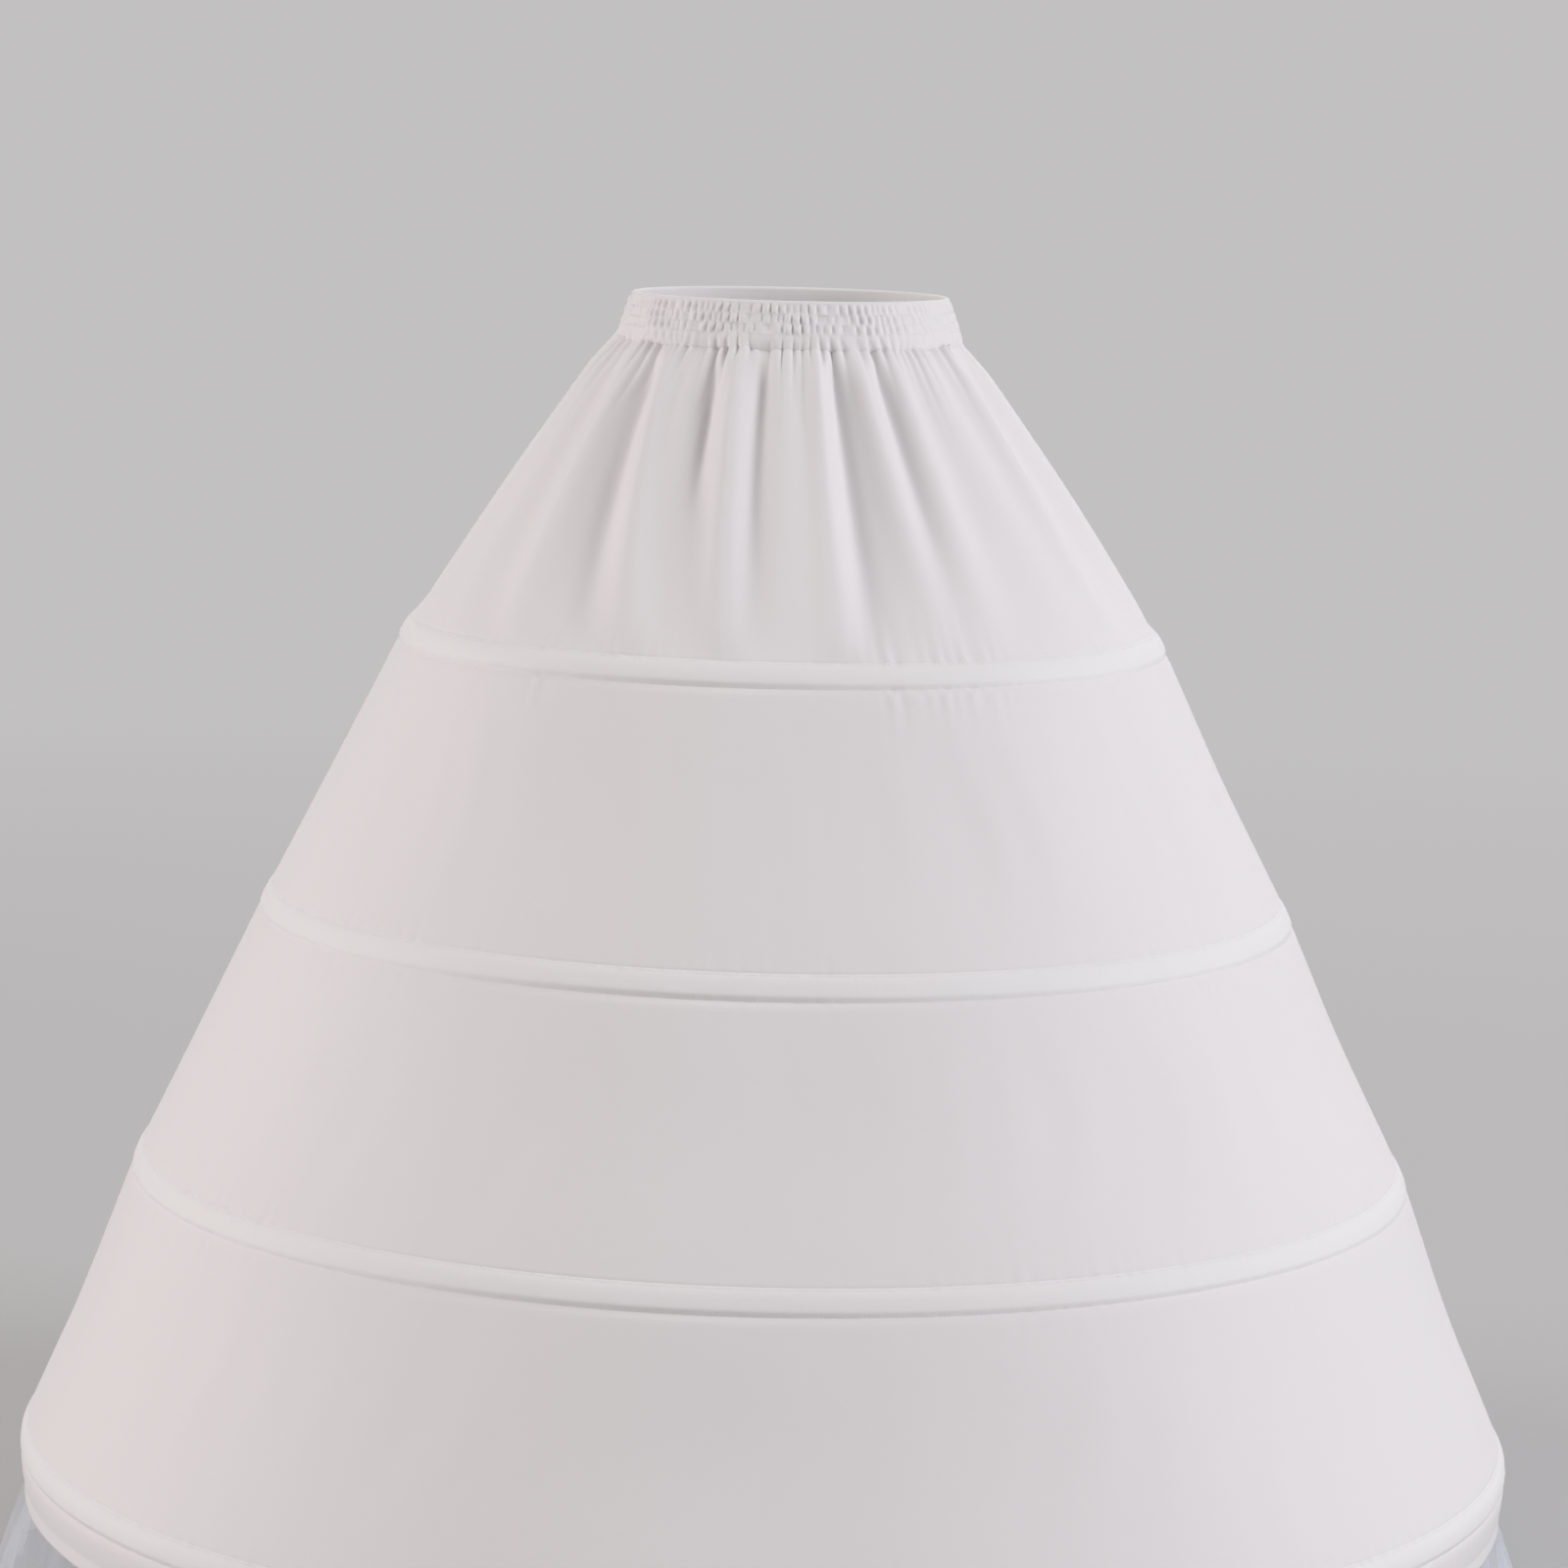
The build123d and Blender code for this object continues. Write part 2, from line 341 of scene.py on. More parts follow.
def plain_tier(name, node, stations, hoops, columns):
    """Tier of cloth: a slope, lifted to the level of the tapes at the casings and dipping behind the hoops.

    Between the hoops it is a little hollow, with slow swells and finer waves that sway as they run down. The
    stitch pulls fade as the distance from a casing grows.
    """
    bearing = bearings(columns)
    last_rows = hem_rows if hem in stations else above_hoop
    radius, height, out_r, out_z, down = slope(*stations, last_rows=last_rows)
    span = np.hypot(*np.subtract(stations[1], stations[0]))
    between = np.sin(np.pi * np.clip(down / span, 0, 1)) ** 2
    sway = bearing + 0.03 * np.sin(2 * np.pi * down / span + hoops[0])
    relief = (swell * wander(bearing, (5, 8, 11, 14), 1.3 + hoops[0]) - hollow) * between
    relief = relief + soft_wave * wander(sway, (23, 31, 43, 58), 0.6 + hoops[0]) * between
    from_ends = np.minimum(down, down[-1] - down)
    relief = relief + back_seam(bearing, radius) * smooth_step(0, casing_half, from_ends)
    for number in hoops:
        hoop_radius, hoop_height = hoop_seats[number - 1]
        aside = np.hypot(radius - hoop_radius, height - hoop_height)
        relief = relief + beside_casing(np.copysign(aside, hoop_height - height), bearing, number)
    if hem in stations:
        relief = relief + hanging_hem(stations[1][1] - height)
    points = ring_points(radius + relief * out_r, height + relief * out_z, bearing)
    piece = grid_piece(name, points)
    thicken(piece, cloth_wall)
    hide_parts(node)
    return piece


woven_sheen = {"Sheen_Weight": 0.25, "Sheen_Roughness": 0.45, "Specular_IOR_Level": 0.3}


def plain_weave(tree, lengths, thread):
    """Threads of a plain weave: a sine of the length round the ring times a sine of the length down it."""
    weft = tree.node("ShaderNodeSeparateXYZ", inputs={0: lengths}, output="X") * (2 * np.pi / thread)
    warp = tree.node("ShaderNodeSeparateXYZ", inputs={0: lengths}, output="Y") * (2 * np.pi / thread)
    return tree.math("SINE", weft) * tree.math("SINE", warp)


def petticoat_cloth():
    """Plain weave, with noise drawn out along the weft for slubs and down the warp for uneven ends.

    A slow noise drifts the white between warm and cool, and the slubs vary the gloss.
    """
    material, tree = new_finish("petticoat_cloth", **woven_sheen)
    lengths = tree.node("ShaderNodeTexCoord", output="UV")
    place = tree.node("ShaderNodeTexCoord", output="Object")
    weave = plain_weave(tree, lengths, thread=0.0005)
    drawn = tree.node("ShaderNodeMapping", inputs={"Vector": lengths, "Scale": (35.0, 900.0, 1.0)})
    slubs = tree.node("ShaderNodeTexNoise", inputs={"Vector": drawn, "Scale": 1.0, "Detail": 3.0})
    hung = tree.node("ShaderNodeMapping", inputs={"Vector": lengths, "Scale": (420.0, 18.0, 1.0)})
    ends = tree.node("ShaderNodeTexNoise", inputs={"Vector": hung, "Scale": 1.0, "Detail": 2.0})
    drift = tree.node("ShaderNodeTexNoise", inputs={"Vector": place, "Scale": 2.4, "Detail": 2.0})
    tone = 0.7 * drift + 0.15 * slubs + 0.15 * ends
    tone.between((0.796, 0.752, 0.752, 1), (0.806, 0.772, 0.779, 1)).feeds("Base Color")
    (0.66 + 0.22 * slubs).feeds("Roughness")
    (0.35 * weave + 0.5 * slubs + 0.4 * ends).bumps(0.25, 0.0002)
    return material


cloth = petticoat_cloth()
for name, first, columns in (("second", 1, 840), ("third", 2, 840), ("bottom", 3, 800)):
    below = [hoop_seats[first], hem] if name == "bottom" else [hoop_seats[first]]
    stations = [hoop_seats[first - 1], *below]
    hoops = (first, first + 1)
    tier = plain_tier(f"{name}_tier_cloth", f"{name}_tier", stations, hoops, columns)
    tier.data.materials.append(cloth)
    lower_edge = 2 * np.pi * stations[-1][0]
    runs = [(a, b, np.hypot(*np.subtract(b, a))) for a, b in zip(stations, stations[1:])]
    area = sum(np.pi * (a[0] + b[0]) * run for a, b, run in runs)


# Top tier: a flared panel of the same cloth, gathered into the waistband and let out to the first hoop.
# Its top edge is turned in under the band, and the gathers are full below the seam and gone at the hoop.
seam_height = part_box("top_tier")[1].z
seam_radius, turned_in = 0.1364, 0.0148
tuck_height, tuck_reach, shortest_tuck = 0.0024, 0.020, 0.006
tuck_counts, tuck_start = (37, 46, 59), 0.9
near_seam = np.array([0, 1.5, 3, 5, 8, 11, 15, 20]) / 1000
shoulder, shoulder_rise, shoulder_reach = 0.0010, 0.012, 0.13
# Each front fold: bearing at the waist and at the hoop, half its width at both (degrees), depth (mm), and
# the share of the tier that it reaches down. A negative depth is a crease between folds.
front_folds = (
    (-72, -62, 4.2, 4.5, 7.0, 0.95),
    (-57, -44, 3.6, 3.6, 7.5, 1.00),
    (-40, -22, 3.0, 2.7, 8.0, 1.00),
    (-31, -18, 2.0, 2.5, 3.5, 0.55),
    (-16, -8, 2.7, 2.4, 8.5, 1.10),
    (-1, 1.5, 3.0, 3.0, 4.5, 0.85),
    (8, 8.5, 2.3, 2.6, 8.5, 1.10),
    (21.5, 25, 2.3, 2.6, 7.0, 0.90),
    (34, 34, 2.6, 3.2, 6.0, 0.90),
    (47, 53, 4.4, 5.5, 5.0, 0.95),
    (-47, -30.5, 1.8, 2.4, -4.5, 0.95),
    (-23.5, -13, 1.1, 1.8, -4.5, 0.45),
    (-8, -5, 1.5, 2.2, -3.5, 0.95),
    (13, 14, 1.7, 2.4, -5.0, 0.95),
    (28, 29, 1.4, 2.0, -3.0, 0.60),
)
side_fold_count, side_start, side_end = 17, 62.0, 280.0
fold_scale = 1.18
seam_fullness, full_at, fade_start, fade_end = 0.3, 0.13, 0.46, 1.34


def gathers(bearing, share):
    """Folds of the top tier: each a bell-shaped ridge whose middle and width slide from seam to hoop.

    A fold is pressed low at the seam, full at an eighth of the way down, and fades about its reach. At the
    sides and the back the folds stand at even steps, which sines of their numbers make uneven. The mean of
    each row is taken off, so that the tier keeps its size.
    """
    steps = np.arange(side_fold_count)
    uneven = np.sin(2.4 * steps)
    middles = side_start + (side_end - side_start) * (steps + 0.3 * uneven) / (side_fold_count - 1)
    side_folds = [
        (middle, middle + 3 * u, 3.2 + 0.5 * u, 3.8 + 0.8 * u, 7.0 + 1.6 * np.cos(5.1 * k), 0.92 + 0.12 * u)
        for k, (middle, u) in enumerate(zip(middles, uneven))
    ]
    relief = np.zeros(np.broadcast_shapes(bearing.shape, share.shape))
    for at_seam, at_hoop, narrow, wide, depth, reach in (*front_folds, *side_folds):
        middle = np.radians(at_seam + (at_hoop - at_seam) * share)
        half = np.radians(narrow + (wide - narrow) * share)
        aside = (bearing - middle + np.pi) % (2 * np.pi) - np.pi
        opened = seam_fullness + (1 - seam_fullness) * smooth_step(0, full_at, share)
        fullness = opened * (1 - smooth_step(fade_start * reach, fade_end * reach, share))
        relief += fold_scale * depth / 1000 * fullness * np.exp(-((aside / half) ** 2) / 2)
    return relief - relief.mean(axis=1, keepdims=True)


def crimped(wave):
    """Round crests and sharp creases: the size of the wave, with about its mean taken off."""
    return 1.5 * np.abs(wave) ** 0.8 - 0.9


def tucks(bearing, down):
    """Little tucks between the folds, under the seam: a crimped uneven wave that dies away downwards."""
    lengths = np.maximum(tuck_reach * (1 + 0.5 * wander(bearing, (9, 14, 23), 0.4)), shortest_tuck)
    return tuck_height * crimped(wander(bearing, tuck_counts, tuck_start)) * np.exp(-down / lengths)


def seam_edge(bearing):
    """Radius and height of the gathered edge, where tier and waistband meet in one puckered line."""
    at_seam = np.zeros((1, 1))
    relief = gathers(bearing, at_seam) + tucks(bearing, at_seam)
    return seam_radius + seam_out[0] * relief, seam_height + seam_out[1] * relief


waist_columns = 800
bearing = bearings(waist_columns)
radius, height, out_r, out_z, down = slope((seam_radius, seam_height), hoop_seats[0], first_rows=near_seam)
share = down / down[-1]
aside = down[-1] - down
seam_out = out_r[0, 0], out_z[0, 0]
relief = gathers(bearing, share) + tucks(bearing, down)
relief += shoulder * smooth_step(0, shoulder_rise, down) * np.exp(-((down / shoulder_reach) ** 2))
relief += swell * wander(bearing, (6, 9, 13), 2.2) * np.sin(np.pi * share) ** 2
relief *= smooth_step(hoop_clear, 3 * casing_half, aside)
relief += back_seam(bearing, radius) * smooth_step(0, casing_half, aside)
relief += beside_casing(-aside, bearing, 1)
slope_points = ring_points(radius + relief * out_r, height + relief * out_z, bearing)
inwards = np.linspace(turned_in, 0, 6)[:-1, None]
edge_radius = seam_radius + (seam_edge(bearing)[0] - seam_radius) * (1 - inwards / turned_in) - inwards
edge_points = ring_points(edge_radius, seam_height - cloth_wall / 2 + 0 * inwards, bearing)
top_tier = grid_piece("top_tier_cloth", np.concatenate([edge_points, slope_points]))
top_tier.data.materials.append(cloth)
thicken(top_tier, cloth_wall)
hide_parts("top_tier")
hoop_edge, waist_edge = 2 * np.pi * hoop_seats[0][0], 1.25
cut_drop = down[-1, 0] + turned_in
(hoop_edge + waist_edge) / 2 * cut_drop


# Casings: tapes of doubled cloth laid over the hoops and sewn to the skirt along both edges.
# The lower edge is sewn down into a groove under the hoop. Each tape is open at the back, at the sleeve.
casing_break, tape_cut = 0.052, 0.026
tape_wall, tape_ply = cloth_wall * 0.8, 0.0005
dome, dome_reach, edge_dive = 0.0009, 0.0070, 0.0022
fall_start, tape_foot, foot_dive = 0.0062, 0.0124, 0.0004
tape_pucker, pucker_pitches = 0.00022, np.array([0.0071, 0.0083, 0.0102])
upper_stitch, lower_stitch = -0.0086, 0.0098
upper_groove, upper_groove_half = 0.0003, 0.0008
stitch_pitch, stitch_length, stitch_width, stitch_lift = 0.0034, 0.0026, 0.0007, 0.0003
stitch_proud = stitch_lift / 3
column_pitch = 0.0034
tape_rows = [-11, -10.4, -9.8, -9.2, -8.6, -7.8, -6.2, -3.8, -0.6, 3, 5.8, 7, 8, 9, 10, 11.2, 12.4]


class Seat:
    """Section frame of one hoop: directions down along the tier above it and along the tier below it."""

    def __init__(self, number):
        self.radius, self.height = hoop_seats[number - 1]
        stations = [(seam_radius, seam_height), *hoop_seats, hem]
        above = np.subtract(stations[number], stations[number - 1])
        below = np.subtract(stations[number + 1], stations[number])
        self.above, self.below = above / np.hypot(*above), below / np.hypot(*below)
        self.mean = (self.above + self.below) / np.hypot(*(self.above + self.below))

    def bearings(self, pitch):
        """Bearings from one end of the tape to the other, about this far apart."""
        end = np.pi - casing_break / 2 / self.radius
        return np.linspace(-end, end, int(2 * end * self.radius / pitch))

    def place(self, along, out):
        """Radius and height of a point: along follows the tier above the hoop, then the tier below it."""
        run = np.where(along < 0, self.above[:, None, None], self.below[:, None, None])
        lean = smooth_step(-casing_half, casing_half, along)
        normal = self.above[:, None, None] * (1 - lean) + self.below[:, None, None] * lean
        radius = self.radius + along * run[0] - out * normal[1]
        height = self.height + along * run[1] + out * normal[0]
        return radius, height


def tape_profile(along, depth, pulls):
    """Height of the tape over the hoop's seat: the level of the stretched cloth, its own ply and a low dome.

    Above the hoop the dome falls off as a bell with a flat top. The upper edge dives into the cloth, with a
    slight groove of stitching under it. Below the hoop the tape falls to the bottom of the groove, where its
    edge follows the stitch pulls of the cloth and dives into it.
    """
    over_hoop = dome * np.exp(-((np.maximum(-along, 0) / dome_reach) ** 4))
    ply = tape_ply * (1.5 * smooth_step(-casing_half, edge_dive - casing_half, along) - 0.5)
    pressed = upper_groove * np.exp(-(((along - upper_stitch) / upper_groove_half) ** 2))
    top = tape_level + ply + over_hoop - pressed
    fall = smooth_step(fall_start, tape_foot, along)
    return top * (1 - fall) + ((tape_level + pulls) * (1 - depth) - foot_dive) * fall


def tape_flutter(bearing, number):
    """Fine puckers of the tape itself, about a stitch or two long."""
    counts = np.round(2 * np.pi * hoop_seats[number - 1][0] / pucker_pitches)
    patchy = 0.6 + 0.4 * wander(bearing, (7, 12), number)
    return tape_pucker * crimped(wander(bearing, counts, 1.2 + number)) * patchy


def free_of_edges(along):
    """How free the tape is to pucker: not at all over the hoop and at the sewn edges, most between them."""
    aside = np.abs(along)
    sewn_at = np.where(along < 0, casing_half, tape_foot)
    return smooth_step(0, hoop_clear, aside) * (1 - smooth_step(0.75 * sewn_at, sewn_at, aside))


def tape_face(along, bearing, number):
    """Height of the tape's face: the profile, the stitch pulls of the cloth above, and its own puckers."""
    pulls = stitch_pulls(bearing, number)
    ripple = pulls * smooth_step(hoop_clear, casing_half, -along)
    flutter = tape_flutter(bearing, number) * free_of_edges(along)
    return tape_profile(along, groove_depth(bearing, number), pulls) + ripple + flutter


def hoop_casing(number):
    """Tape carried round the hoop, with rows closer together where it turns."""
    seat = Seat(number)
    bearing = seat.bearings(column_pitch)
    along = np.array(tape_rows)[:, None] / 1000
    radius, height = seat.place(along, tape_face(along, bearing, number))
    points = ring_points(radius, height, bearing)
    piece = grid_piece(f"hoop_casing_{number}_tape", points, closed=False)
    thicken(piece, tape_wall)
    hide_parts(f"hoop_casing_{number}")
    return piece


def stitches(name, rows):
    """Rows of stitches, each a spindle: a ring of four points between two tips that dive into the cloth.

    A row gives a centre, a direction along the seam and a direction out of the cloth for every stitch.
    """
    half, side, lift = stitch_length / 2, stitch_width / 2, stitch_lift
    ring = [(0, side, 0), (0, 0, lift), (0, -side, 0), (0, 0, -lift)]
    spindle = np.array([(-half, 0, -lift), *ring, (half, 0, -lift)])
    turn = [(1 + k, 1 + (k + 1) % 4) for k in range(4)]
    faces = [(0, b, a) for a, b in turn] + [(5, a, b) for a, b in turn]
    centre, along, out = (np.concatenate(parts) for parts in zip(*rows))
    across = np.cross(out, along)
    axes = np.stack([along, across, out], axis=1)
    points = centre[:, None, :] + np.einsum("vk,nkc->nvc", spindle, axes)
    numbers = np.array(faces)[None] + len(spindle) * np.arange(len(centre))[:, None, None]
    mesh = bpy.data.meshes.new(name)
    mesh.from_pydata(points.reshape(-1, 3), [], numbers.reshape(-1, 3))
    return smooth_piece(name, mesh)


def seam_frame(radius, height, out_r, out_z, bearing):
    """Centres and directions of stitches on a ring of cloth."""
    centre = ring_points(radius, height, bearing)
    along = ring_points(1.0, 0.0, bearing + np.pi / 2)
    out = ring_points(out_r, out_z, bearing)
    return centre, along, out


def casing_stitches(number):
    """Both lines of stitching of a casing, in the grooves that they press."""
    seat = Seat(number)
    bearing = seat.bearings(stitch_pitch)
    rows = []
    for line in (upper_stitch, lower_stitch):
        along = np.array([[line]])
        radius, height = seat.place(along, tape_face(along, bearing, number) + stitch_proud)
        rows.append(seam_frame(radius[0], height[0], -seat.mean[1], seat.mean[0], bearing))
    return stitches(f"hoop_casing_{number}_stitches", rows)


def casing_tape():
    """Doubled cloth: the weave again, coarser and a little whiter, with small creases across the tape."""
    material, tree = new_finish("casing_tape", **woven_sheen)
    lengths = tree.node("ShaderNodeTexCoord", output="UV")
    weave = plain_weave(tree, lengths, thread=0.0006)
    hung = tree.node("ShaderNodeMapping", inputs={"Vector": lengths, "Scale": (300.0, 60.0, 1.0)})
    creases = tree.node("ShaderNodeTexNoise", inputs={"Vector": hung, "Scale": 1.0, "Detail": 3.0})
    drift = tree.node("ShaderNodeTexNoise", inputs={"Vector": lengths, "Scale": 6.0, "Detail": 2.0})
    tone = 0.6 * drift + 0.4 * creases
    tone.between((0.83, 0.786, 0.784, 1), (0.86, 0.836, 0.844, 1)).feeds("Base Color")
    (0.64 + 0.24 * creases).feeds("Roughness")
    (0.35 * weave + 1.2 * creases).bumps(0.35, 0.0003)
    return material


def sewing_thread():
    """Spun thread: a fine twist as noise, and a drift of tone from stitch to stitch."""
    material, tree = new_finish("sewing_thread", Sheen_Weight=0.2, Specular_IOR_Level=0.4)
    place = tree.node("ShaderNodeTexCoord", output="Object")
    twist = tree.node("ShaderNodeTexNoise", inputs={"Vector": place, "Scale": 4000.0, "Detail": 1.0})
    drift = tree.node("ShaderNodeTexNoise", inputs={"Vector": place, "Scale": 150.0, "Detail": 1.0})
    drift.between((0.78, 0.76, 0.75, 1), (0.88, 0.88, 0.88, 1)).feeds("Base Color")
    (0.5 + 0.3 * twist).feeds("Roughness")
    twist.bumps(0.4, 0.0001)
    return material


tape, sewing = casing_tape(), sewing_thread()
for number in hoop_numbers:
    casing, sewn = hoop_casing(number), casing_stitches(number)
    casing.data.materials.append(tape)
    sewn.data.materials.append(sewing)
    cut_length = 2 * np.pi * hoop_seats[number - 1][0] - casing_break


# Waist elastic: a flat band woven from rubber and polyester, which draws the waist in.
# It is sewn into a ring and lies sealed in the waistband's tunnel.
def woven_elastic():
    """Ribs round the band, as a sine of the height, with a drift of tone."""
    material, tree = new_finish("woven_elastic", Sheen_Weight=0.2)
    place = tree.node("ShaderNodeTexCoord", output="Object")
    height = tree.node("ShaderNodeSeparateXYZ", inputs={0: place}, output="Z")
    ribs = tree.math("SINE", height * 4200.0)
    drift = tree.node("ShaderNodeTexNoise", inputs={"Vector": place, "Scale": 90.0, "Detail": 3.0})
    drift.between((0.78, 0.78, 0.76, 1), (0.87, 0.87, 0.86, 1)).feeds("Base Color")
    (0.7 + 0.2 * drift).feeds("Roughness")
    ribs.bumps(0.5, 0.0003)
    return material


dress(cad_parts["waist_elastic"], woven_elastic())


# Waistband: a strip of the cloth folded over the elastic, smooth inside and shirred outside.
# Stitching through the elastic parts the puckers into four rows, and the last row runs into the gathers.
band_height, band_cut = 0.036, (0.95, 0.08)
inner_radius, rim_radius, foot_radius = 0.1216, 0.1262, 0.1382
fold_radius = (rim_radius - inner_radius) / 2
pucker_height = 0.0018
sewn_shares = (0.0, 0.24, 0.46, 0.68)
row_counts = ((47, 58, 71), (43, 61, 74), (41, 55, 68), tuck_counts)
joined_share = 0.80
lap_out, lap_down = 0.0004, 0.0006


def shirring(bearing, share):
    """Puckers of the outer ply in rows, each a crimped uneven wave round the band.

    A row is highest in its middle and pinched flat where it is sewn. The last one is open towards the seam,
    and its wave is that of the tucks below. The puckers lean a little, and they are weaker where the elastic
    lies slack, to the right of the front.
    """
    lean = bearing + 0.03 * share * wander(bearing, (4, 7), 1.1)
    ends = (*sewn_shares[1:], 1.6)
    relief = 0
    for number, (upper, lower, counts) in enumerate(zip(sewn_shares, ends, row_counts)):
        envelope = np.sin(np.pi * np.clip((share - upper) / (lower - upper), 0, 1)) ** 0.6
        relief = relief + envelope * crimped(wander(lean, counts, tuck_start + 1.4 * (3 - number)))
    slack = 1 - 0.55 * smooth_step(0.5, 0.9, bearing) * (1 - smooth_step(1.4, 1.9, bearing))
    return pucker_height * relief * slack


def waistband():
    """Folded strip: up the inner ply, round the top fold as half a circle, and down the flaring outer ply.

    The last part of the outer ply runs in to the gathered edge of the top tier and laps over it.
    """
    bearing = bearings(waist_columns)
    inner = np.linspace(-band_height, -fold_radius, 6)[:-1]
    turn = np.linspace(np.pi, 0, 8)
    share = np.linspace(0, 1, 24)[1:]
    middle = inner_radius + fold_radius
    radius = np.concatenate([
        np.full(len(inner), inner_radius),
        middle + fold_radius * np.cos(turn),
        rim_radius + (foot_radius - rim_radius) * share,
    ])[:, None]
    height = np.concatenate([
        inner,
        -fold_radius + fold_radius * np.sin(turn),
        -fold_radius - (band_height - fold_radius) * share,
    ])[:, None]
    outer_share = np.concatenate([np.zeros(len(inner) + len(turn)), share])[:, None]
    joined = smooth_step(joined_share, 1, outer_share)
    edge_radius, edge_height = seam_edge(bearing)
    outer = (radius + shirring(bearing, outer_share)) * (1 - joined) + (edge_radius + lap_out) * joined
    lowered = height + (edge_height - lap_down - height) * joined
    points = ring_points(outer, lowered, bearing)
    piece = grid_piece("waistband_cloth", points)
    thicken(piece, cloth_wall)
    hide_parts("waistband")
    return piece


def band_stitches():
    """The lines of stitching on the outer ply."""
    rows = []
    for share in sewn_shares[1:]:
        radius = rim_radius + (foot_radius - rim_radius) * share
        height = -fold_radius - (band_height - fold_radius) * share
        bearing = bearings(int(2 * np.pi * radius / stitch_pitch))
        lifted = radius + shirring(bearing, np.array(share)) + stitch_proud
        out = np.array([band_height, foot_radius - rim_radius])
        rows.append(seam_frame(lifted, height, *out / np.hypot(*out), bearing))
    return stitches("waistband_stitches", rows)


band, band_sewn = waistband(), band_stitches()
band.data.materials.append(cloth)
band_sewn.data.materials.append(sewing)


# Net flounce: a ruffle of stiff white net, its heading sewn flat inside the hem.
# Below the hem it flares and falls in uneven flutes down to the floor.
heading, heading_gap = 0.012, 0.0003
flounce_flare, flounce_drop, flounce_cut = 0.026, 0.092, 4.6
flounce_columns, flounce_rows = 1440, 22
ruffle_depth, ruffle_count = 0.0065, 32
fold_depth, fold_counts = 0.0042, (83, 101, 122)


def flutes(bearing, share):
    """Ruffles: a main wave whose phase wanders, and close folds on it, both growing as the net falls."""
    phase = ruffle_count * bearing + 1.1 * wander(bearing, (5, 9, 14), 0.8)
    sway = bearing + 0.008 * share * wander(bearing, (6, 13), 2.1)
    depth = 1 + 0.3 * wander(bearing, (7, 11), 2.6)
    ruffles = ruffle_depth * share**0.8 * depth * np.sin(phase)
    return ruffles + fold_depth * share**0.6 * wander(sway, fold_counts, 1.9)


def hem_face(above_edge, bearing):
    """Radius of the bottom tier's outer face at a height above the hem's edge."""
    under_hoop = hem_drop - above_edge
    along = np.hypot(1, hem_flare / hem_drop) * under_hoop
    relief = beside_casing(along, bearing, 4) + hanging_hem(under_hoop)
    return hem[0] - above_edge * hem_flare / hem_drop + relief


def tulle_flounce():
    """Net: the heading lies inside the hem, then comes the flare, with the flutes added to its radius."""
    bearing = bearings(flounce_columns)
    share = np.linspace(0, 1, flounce_rows + 1)[1:, None] ** 1.3
    flat_part = np.linspace(heading, 0, 4)[:, None]
    inset = cloth_wall + heading_gap
    radius = np.concatenate([
        hem_face(flat_part, bearing) - inset,
        hem_face(0.0, bearing) - inset + flounce_flare * share + flutes(bearing, share),
    ])
    height = np.concatenate([hem[1] + flat_part, hem[1] - flounce_drop * share])
    piece = grid_piece("tulle_flounce_net", ring_points(radius, height, bearing))
    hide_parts("tulle_flounce")
    return piece


def hem_stitches():
    """Line of stitching that holds the turned hem and the net's heading, outside on the bottom tier."""
    bearing = bearings(int(2 * np.pi * hem[0] / stitch_pitch))
    radius = hem_face(hem_fold, bearing) + stitch_proud
    return stitches("hem_stitches", [seam_frame(radius, hem[1] + hem_fold, 1.0, 0.0, bearing)])


def white_net():
    """Diamond net: two families of slanting threads, each showing where a sine comes near zero.

    The holes are clear. The threads are a bluish white that drifts, and they are denser in places.
    """
    mesh_size, thread_share = 0.0018, 0.40
    material, tree = new_finish("white_net", Roughness=0.6, Sheen_Weight=0.4)
    lengths = tree.node("ShaderNodeTexCoord", output="UV")
    across = tree.node("ShaderNodeSeparateXYZ", inputs={0: lengths}, output="X") * (np.pi / mesh_size)
    down = tree.node("ShaderNodeSeparateXYZ", inputs={0: lengths}, output="Y") * (np.pi / mesh_size)
    first = tree.math("ABSOLUTE", tree.math("SINE", across + 0.8 * down))
    second = tree.math("ABSOLUTE", tree.math("SINE", across - 0.8 * down))
    drift = tree.node("ShaderNodeTexNoise", inputs={"Vector": lengths, "Scale": 25.0, "Detail": 2.0})
    width = thread_share * (0.86 + 0.28 * drift)
    tree.math("LESS_THAN", tree.math("MINIMUM", first, second), width).feeds("Alpha")
    drift.between((0.78, 0.80, 0.88, 1), (0.88, 0.90, 0.95, 1)).feeds("Base Color")
    return material


flounce = tulle_flounce()
flounce.data.materials.append(white_net())
hem_sewn = hem_stitches()
hem_sewn.data.materials.append(sewing)


# Floor, light and camera: a wide pale floor under a soft sky, with large soft lamps to the right, the left
# and behind. The camera stands where the photograph was taken from.
floor_half = 60.0
floor_tone = (0.5, 0.492, 0.494)
sky_light = (0.372, 0.357, 0.361)
far_tone = (0.54, 0.53, 0.533)
glow_start, glow_full = 1.0, 6.0


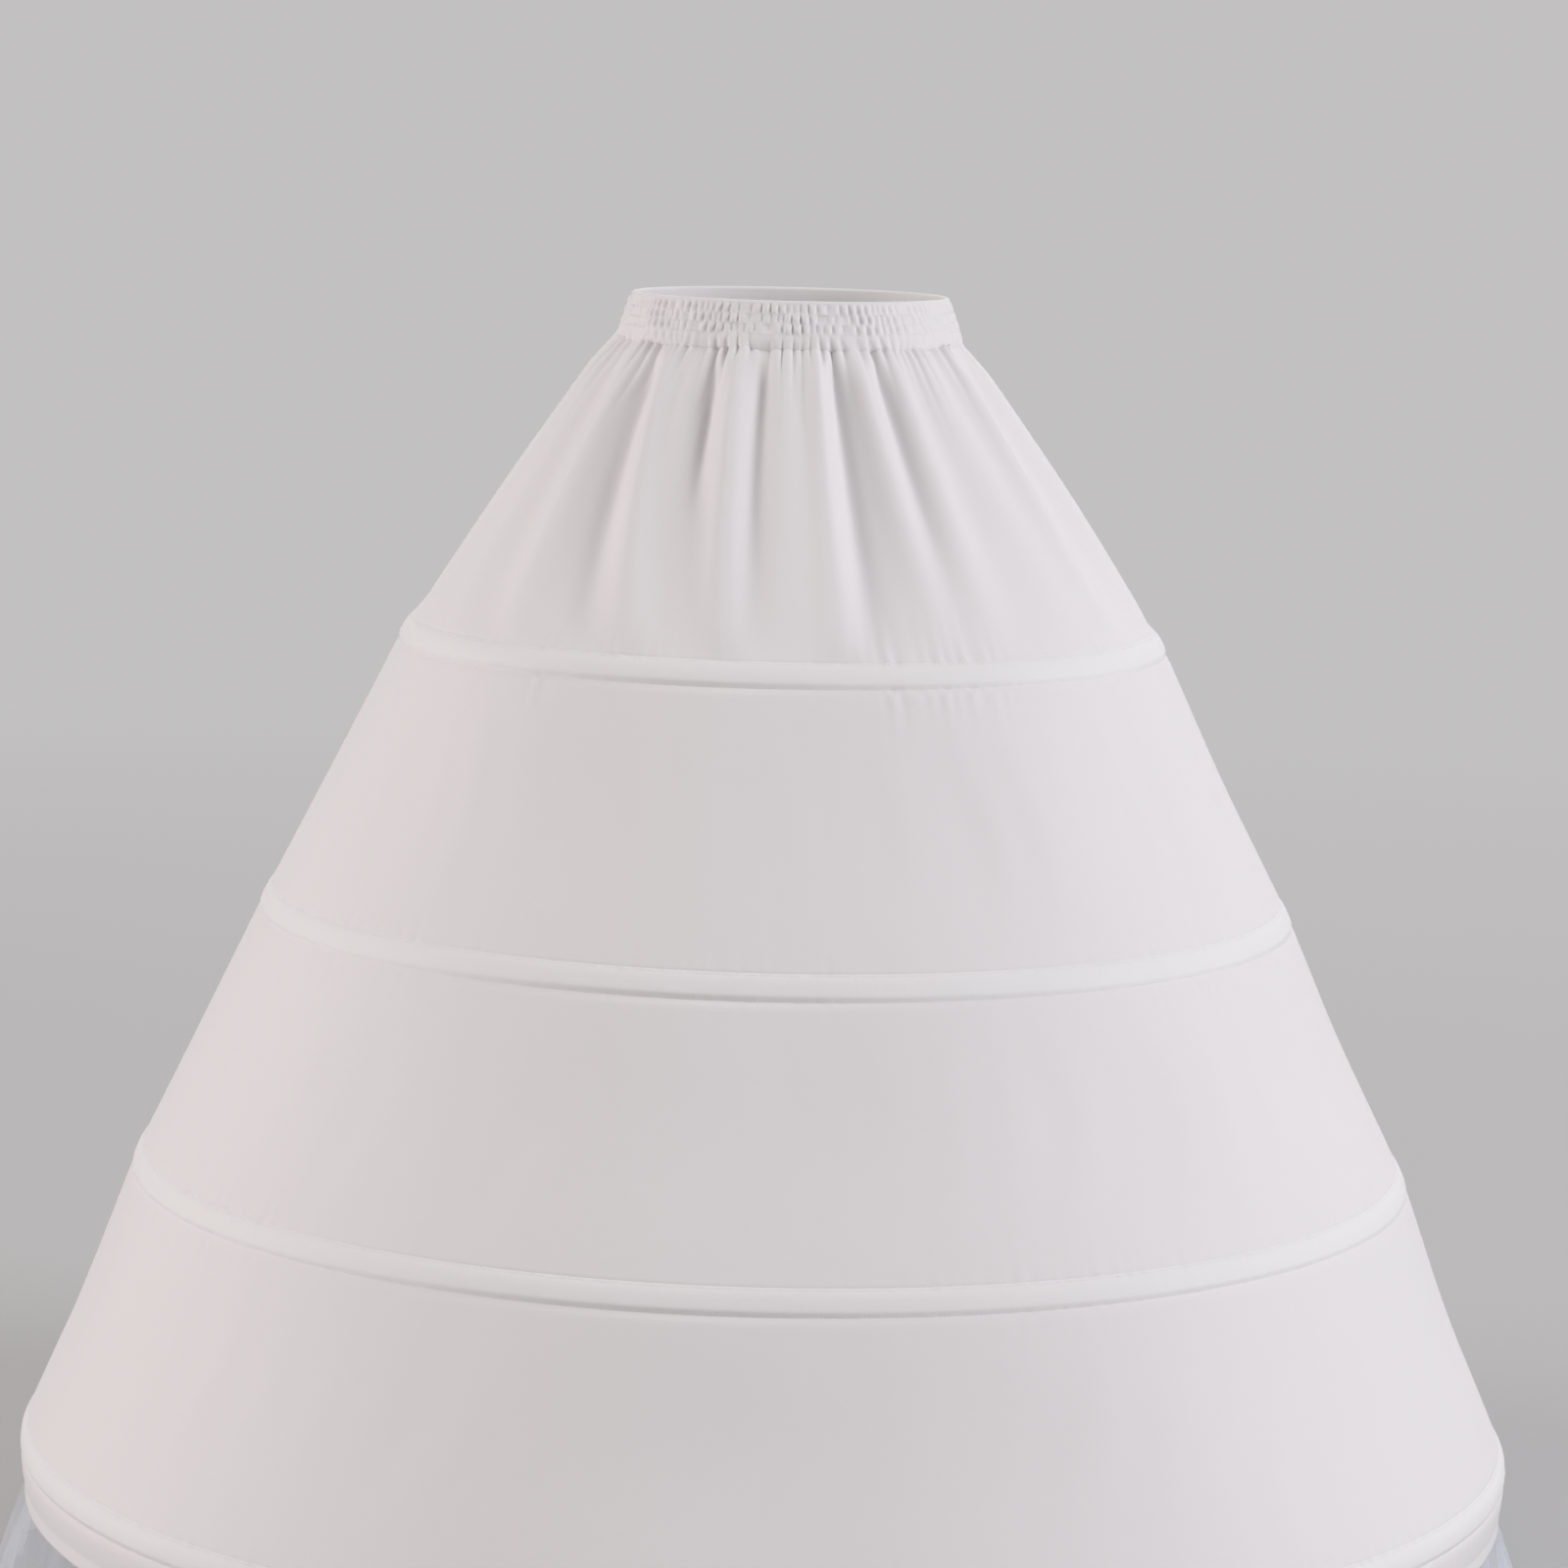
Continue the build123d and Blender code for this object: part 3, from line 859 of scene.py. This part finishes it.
def studio_floor():
    """Pale matt floor. Far off, the camera sees one even tone in place of patches of lamplight."""
    low = cad_box[0].z
    corners = [(x * floor_half, y * floor_half, low) for x, y in ((-1, -1), (1, -1), (1, 1), (-1, 1))]
    mesh = bpy.data.meshes.new("studio_floor")
    mesh.from_pydata(corners, [], [(0, 1, 2, 3)])
    floor = bpy.data.objects.new("studio_floor", mesh)
    bpy.context.scene.collection.objects.link(floor)
    material, tree = new_finish("studio_floor", Roughness=0.9, Specular_IOR_Level=0.0, Emission_Strength=1.0)
    place = tree.node("ShaderNodeTexCoord", output="Object")
    away = tree.node("ShaderNodeVectorMath", {"operation": "LENGTH"}, {0: place}, "Value")
    rise = tree.node(
        "ShaderNodeMapRange", {"interpolation_type": "SMOOTHSTEP"},
        {"Value": away, "From Min": glow_start, "From Max": glow_full},
    )
    seen_far = rise * tree.node("ShaderNodeLightPath", output="Is Camera Ray")
    seen_far.between((*floor_tone, 1), (0, 0, 0, 1)).feeds("Base Color")
    seen_far.between((0, 0, 0, 1), (*far_tone, 1)).feeds("Emission Color")
    mesh.materials.append(material)


def sky():
    """Even sky light. To the camera it has the tone of the far floor, so that no horizon shows."""
    world = bpy.data.worlds.new("sky")
    world.use_nodes = True
    bpy.context.scene.world = world
    tree = Shade(world.node_tree)
    seen = tree.node("ShaderNodeLightPath", output="Is Camera Ray")
    shown = seen.between((*sky_light, 1), (*far_tone, 1))
    world.node_tree.links.new(shown.socket, world.node_tree.nodes["Background"].inputs["Color"])


def soft_lamp(name, place, aim, size, power, tone):
    """Square area lamp that faces a point."""
    lamp = bpy.data.lights.new(name, "AREA")
    lamp.size, lamp.energy, lamp.color = size, power, tone
    held = bpy.data.objects.new(name, lamp)
    back = Matrix.Translation(place).translation - Matrix.Translation(aim).translation
    held.matrix_world = Matrix.Translation(place) @ back.to_track_quat("Z", "Y").to_matrix().to_4x4()
    bpy.context.scene.collection.objects.link(held)


def photo_camera():
    """Long lens a little above the waist, pitched down and rolled, for a square picture."""
    view = bpy.data.cameras.new("photo_camera")
    view.lens, view.sensor_width = 117.0, 36.0
    pitch, roll = np.radians(8.02), np.radians(1.39)
    held = bpy.data.objects.new("photo_camera", view)
    place = Matrix.Translation((0.004, -4.06, 0.179))
    held.matrix_world = place @ Matrix.Rotation(np.pi / 2 - pitch, 4, "X") @ Matrix.Rotation(roll, 4, "Z")
    bpy.context.scene.collection.objects.link(held)
    bpy.context.scene.camera = held


studio_floor()
sky()
soft_lamp("right_lamp", (4.6, -2.0, 2.0), (0, 0, -0.5), 2.4, 188.0, (0.925, 0.966, 1.0))
soft_lamp("left_lamp", (-4.7, -1.2, 1.4), (0, 0, -0.5), 3.0, 142.0, (1.0, 0.986, 0.96))
soft_lamp("back_lamp", (0.8, 5.0, 3.4), (0, 0, -0.5), 3.0, 125.0, (1.0, 0.99, 0.98))
photo_camera()
bpy.context.scene.view_settings.view_transform = "Standard"
